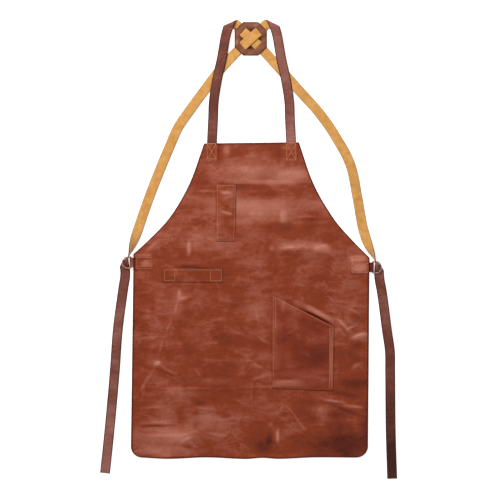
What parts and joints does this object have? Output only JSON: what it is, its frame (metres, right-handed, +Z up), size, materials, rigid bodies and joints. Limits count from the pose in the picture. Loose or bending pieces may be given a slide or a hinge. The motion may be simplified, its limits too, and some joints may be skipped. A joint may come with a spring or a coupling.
{
  "type": "leather cross-back apron",
  "caption": "Leather work apron with a bib, pockets, a towel loop and flat straps that cross behind the back and run through side rings.",
  "frame": {"origin": "on the surface under the middle of the whole apron as it lies with its straps laid out", "axes": "+Z up out of the front face, +Y from the hem to the bib and the cross patch, +X to the right as seen from above"},
  "size_m": [0.7514, 1.1618, 0.0304],
  "materials": {
    "panel_leather": "waxed, soft gloss",
    "pocket_leather": "waxed, soft gloss",
    "strap_leather": "waxed, suede on the flesh side",
    "patch_leather": "waxed, soft gloss",
    "ring_metal": "polished"
  },
  "bodies": {
    "root": {"apron_panel": "panel_leather", "pen_pocket": "panel_leather", "towel_loop": "panel_leather", "slant_pocket": "pocket_leather", "cross_patch": "patch_leather", "strap_from_left": "strap_leather", "strap_from_right": "strap_leather", "d_ring_left": "ring_metal", "ring_tab_left": "strap_leather", "d_ring_right": "ring_metal", "ring_tab_right": "strap_leather"}
  },
  "joints": []
}
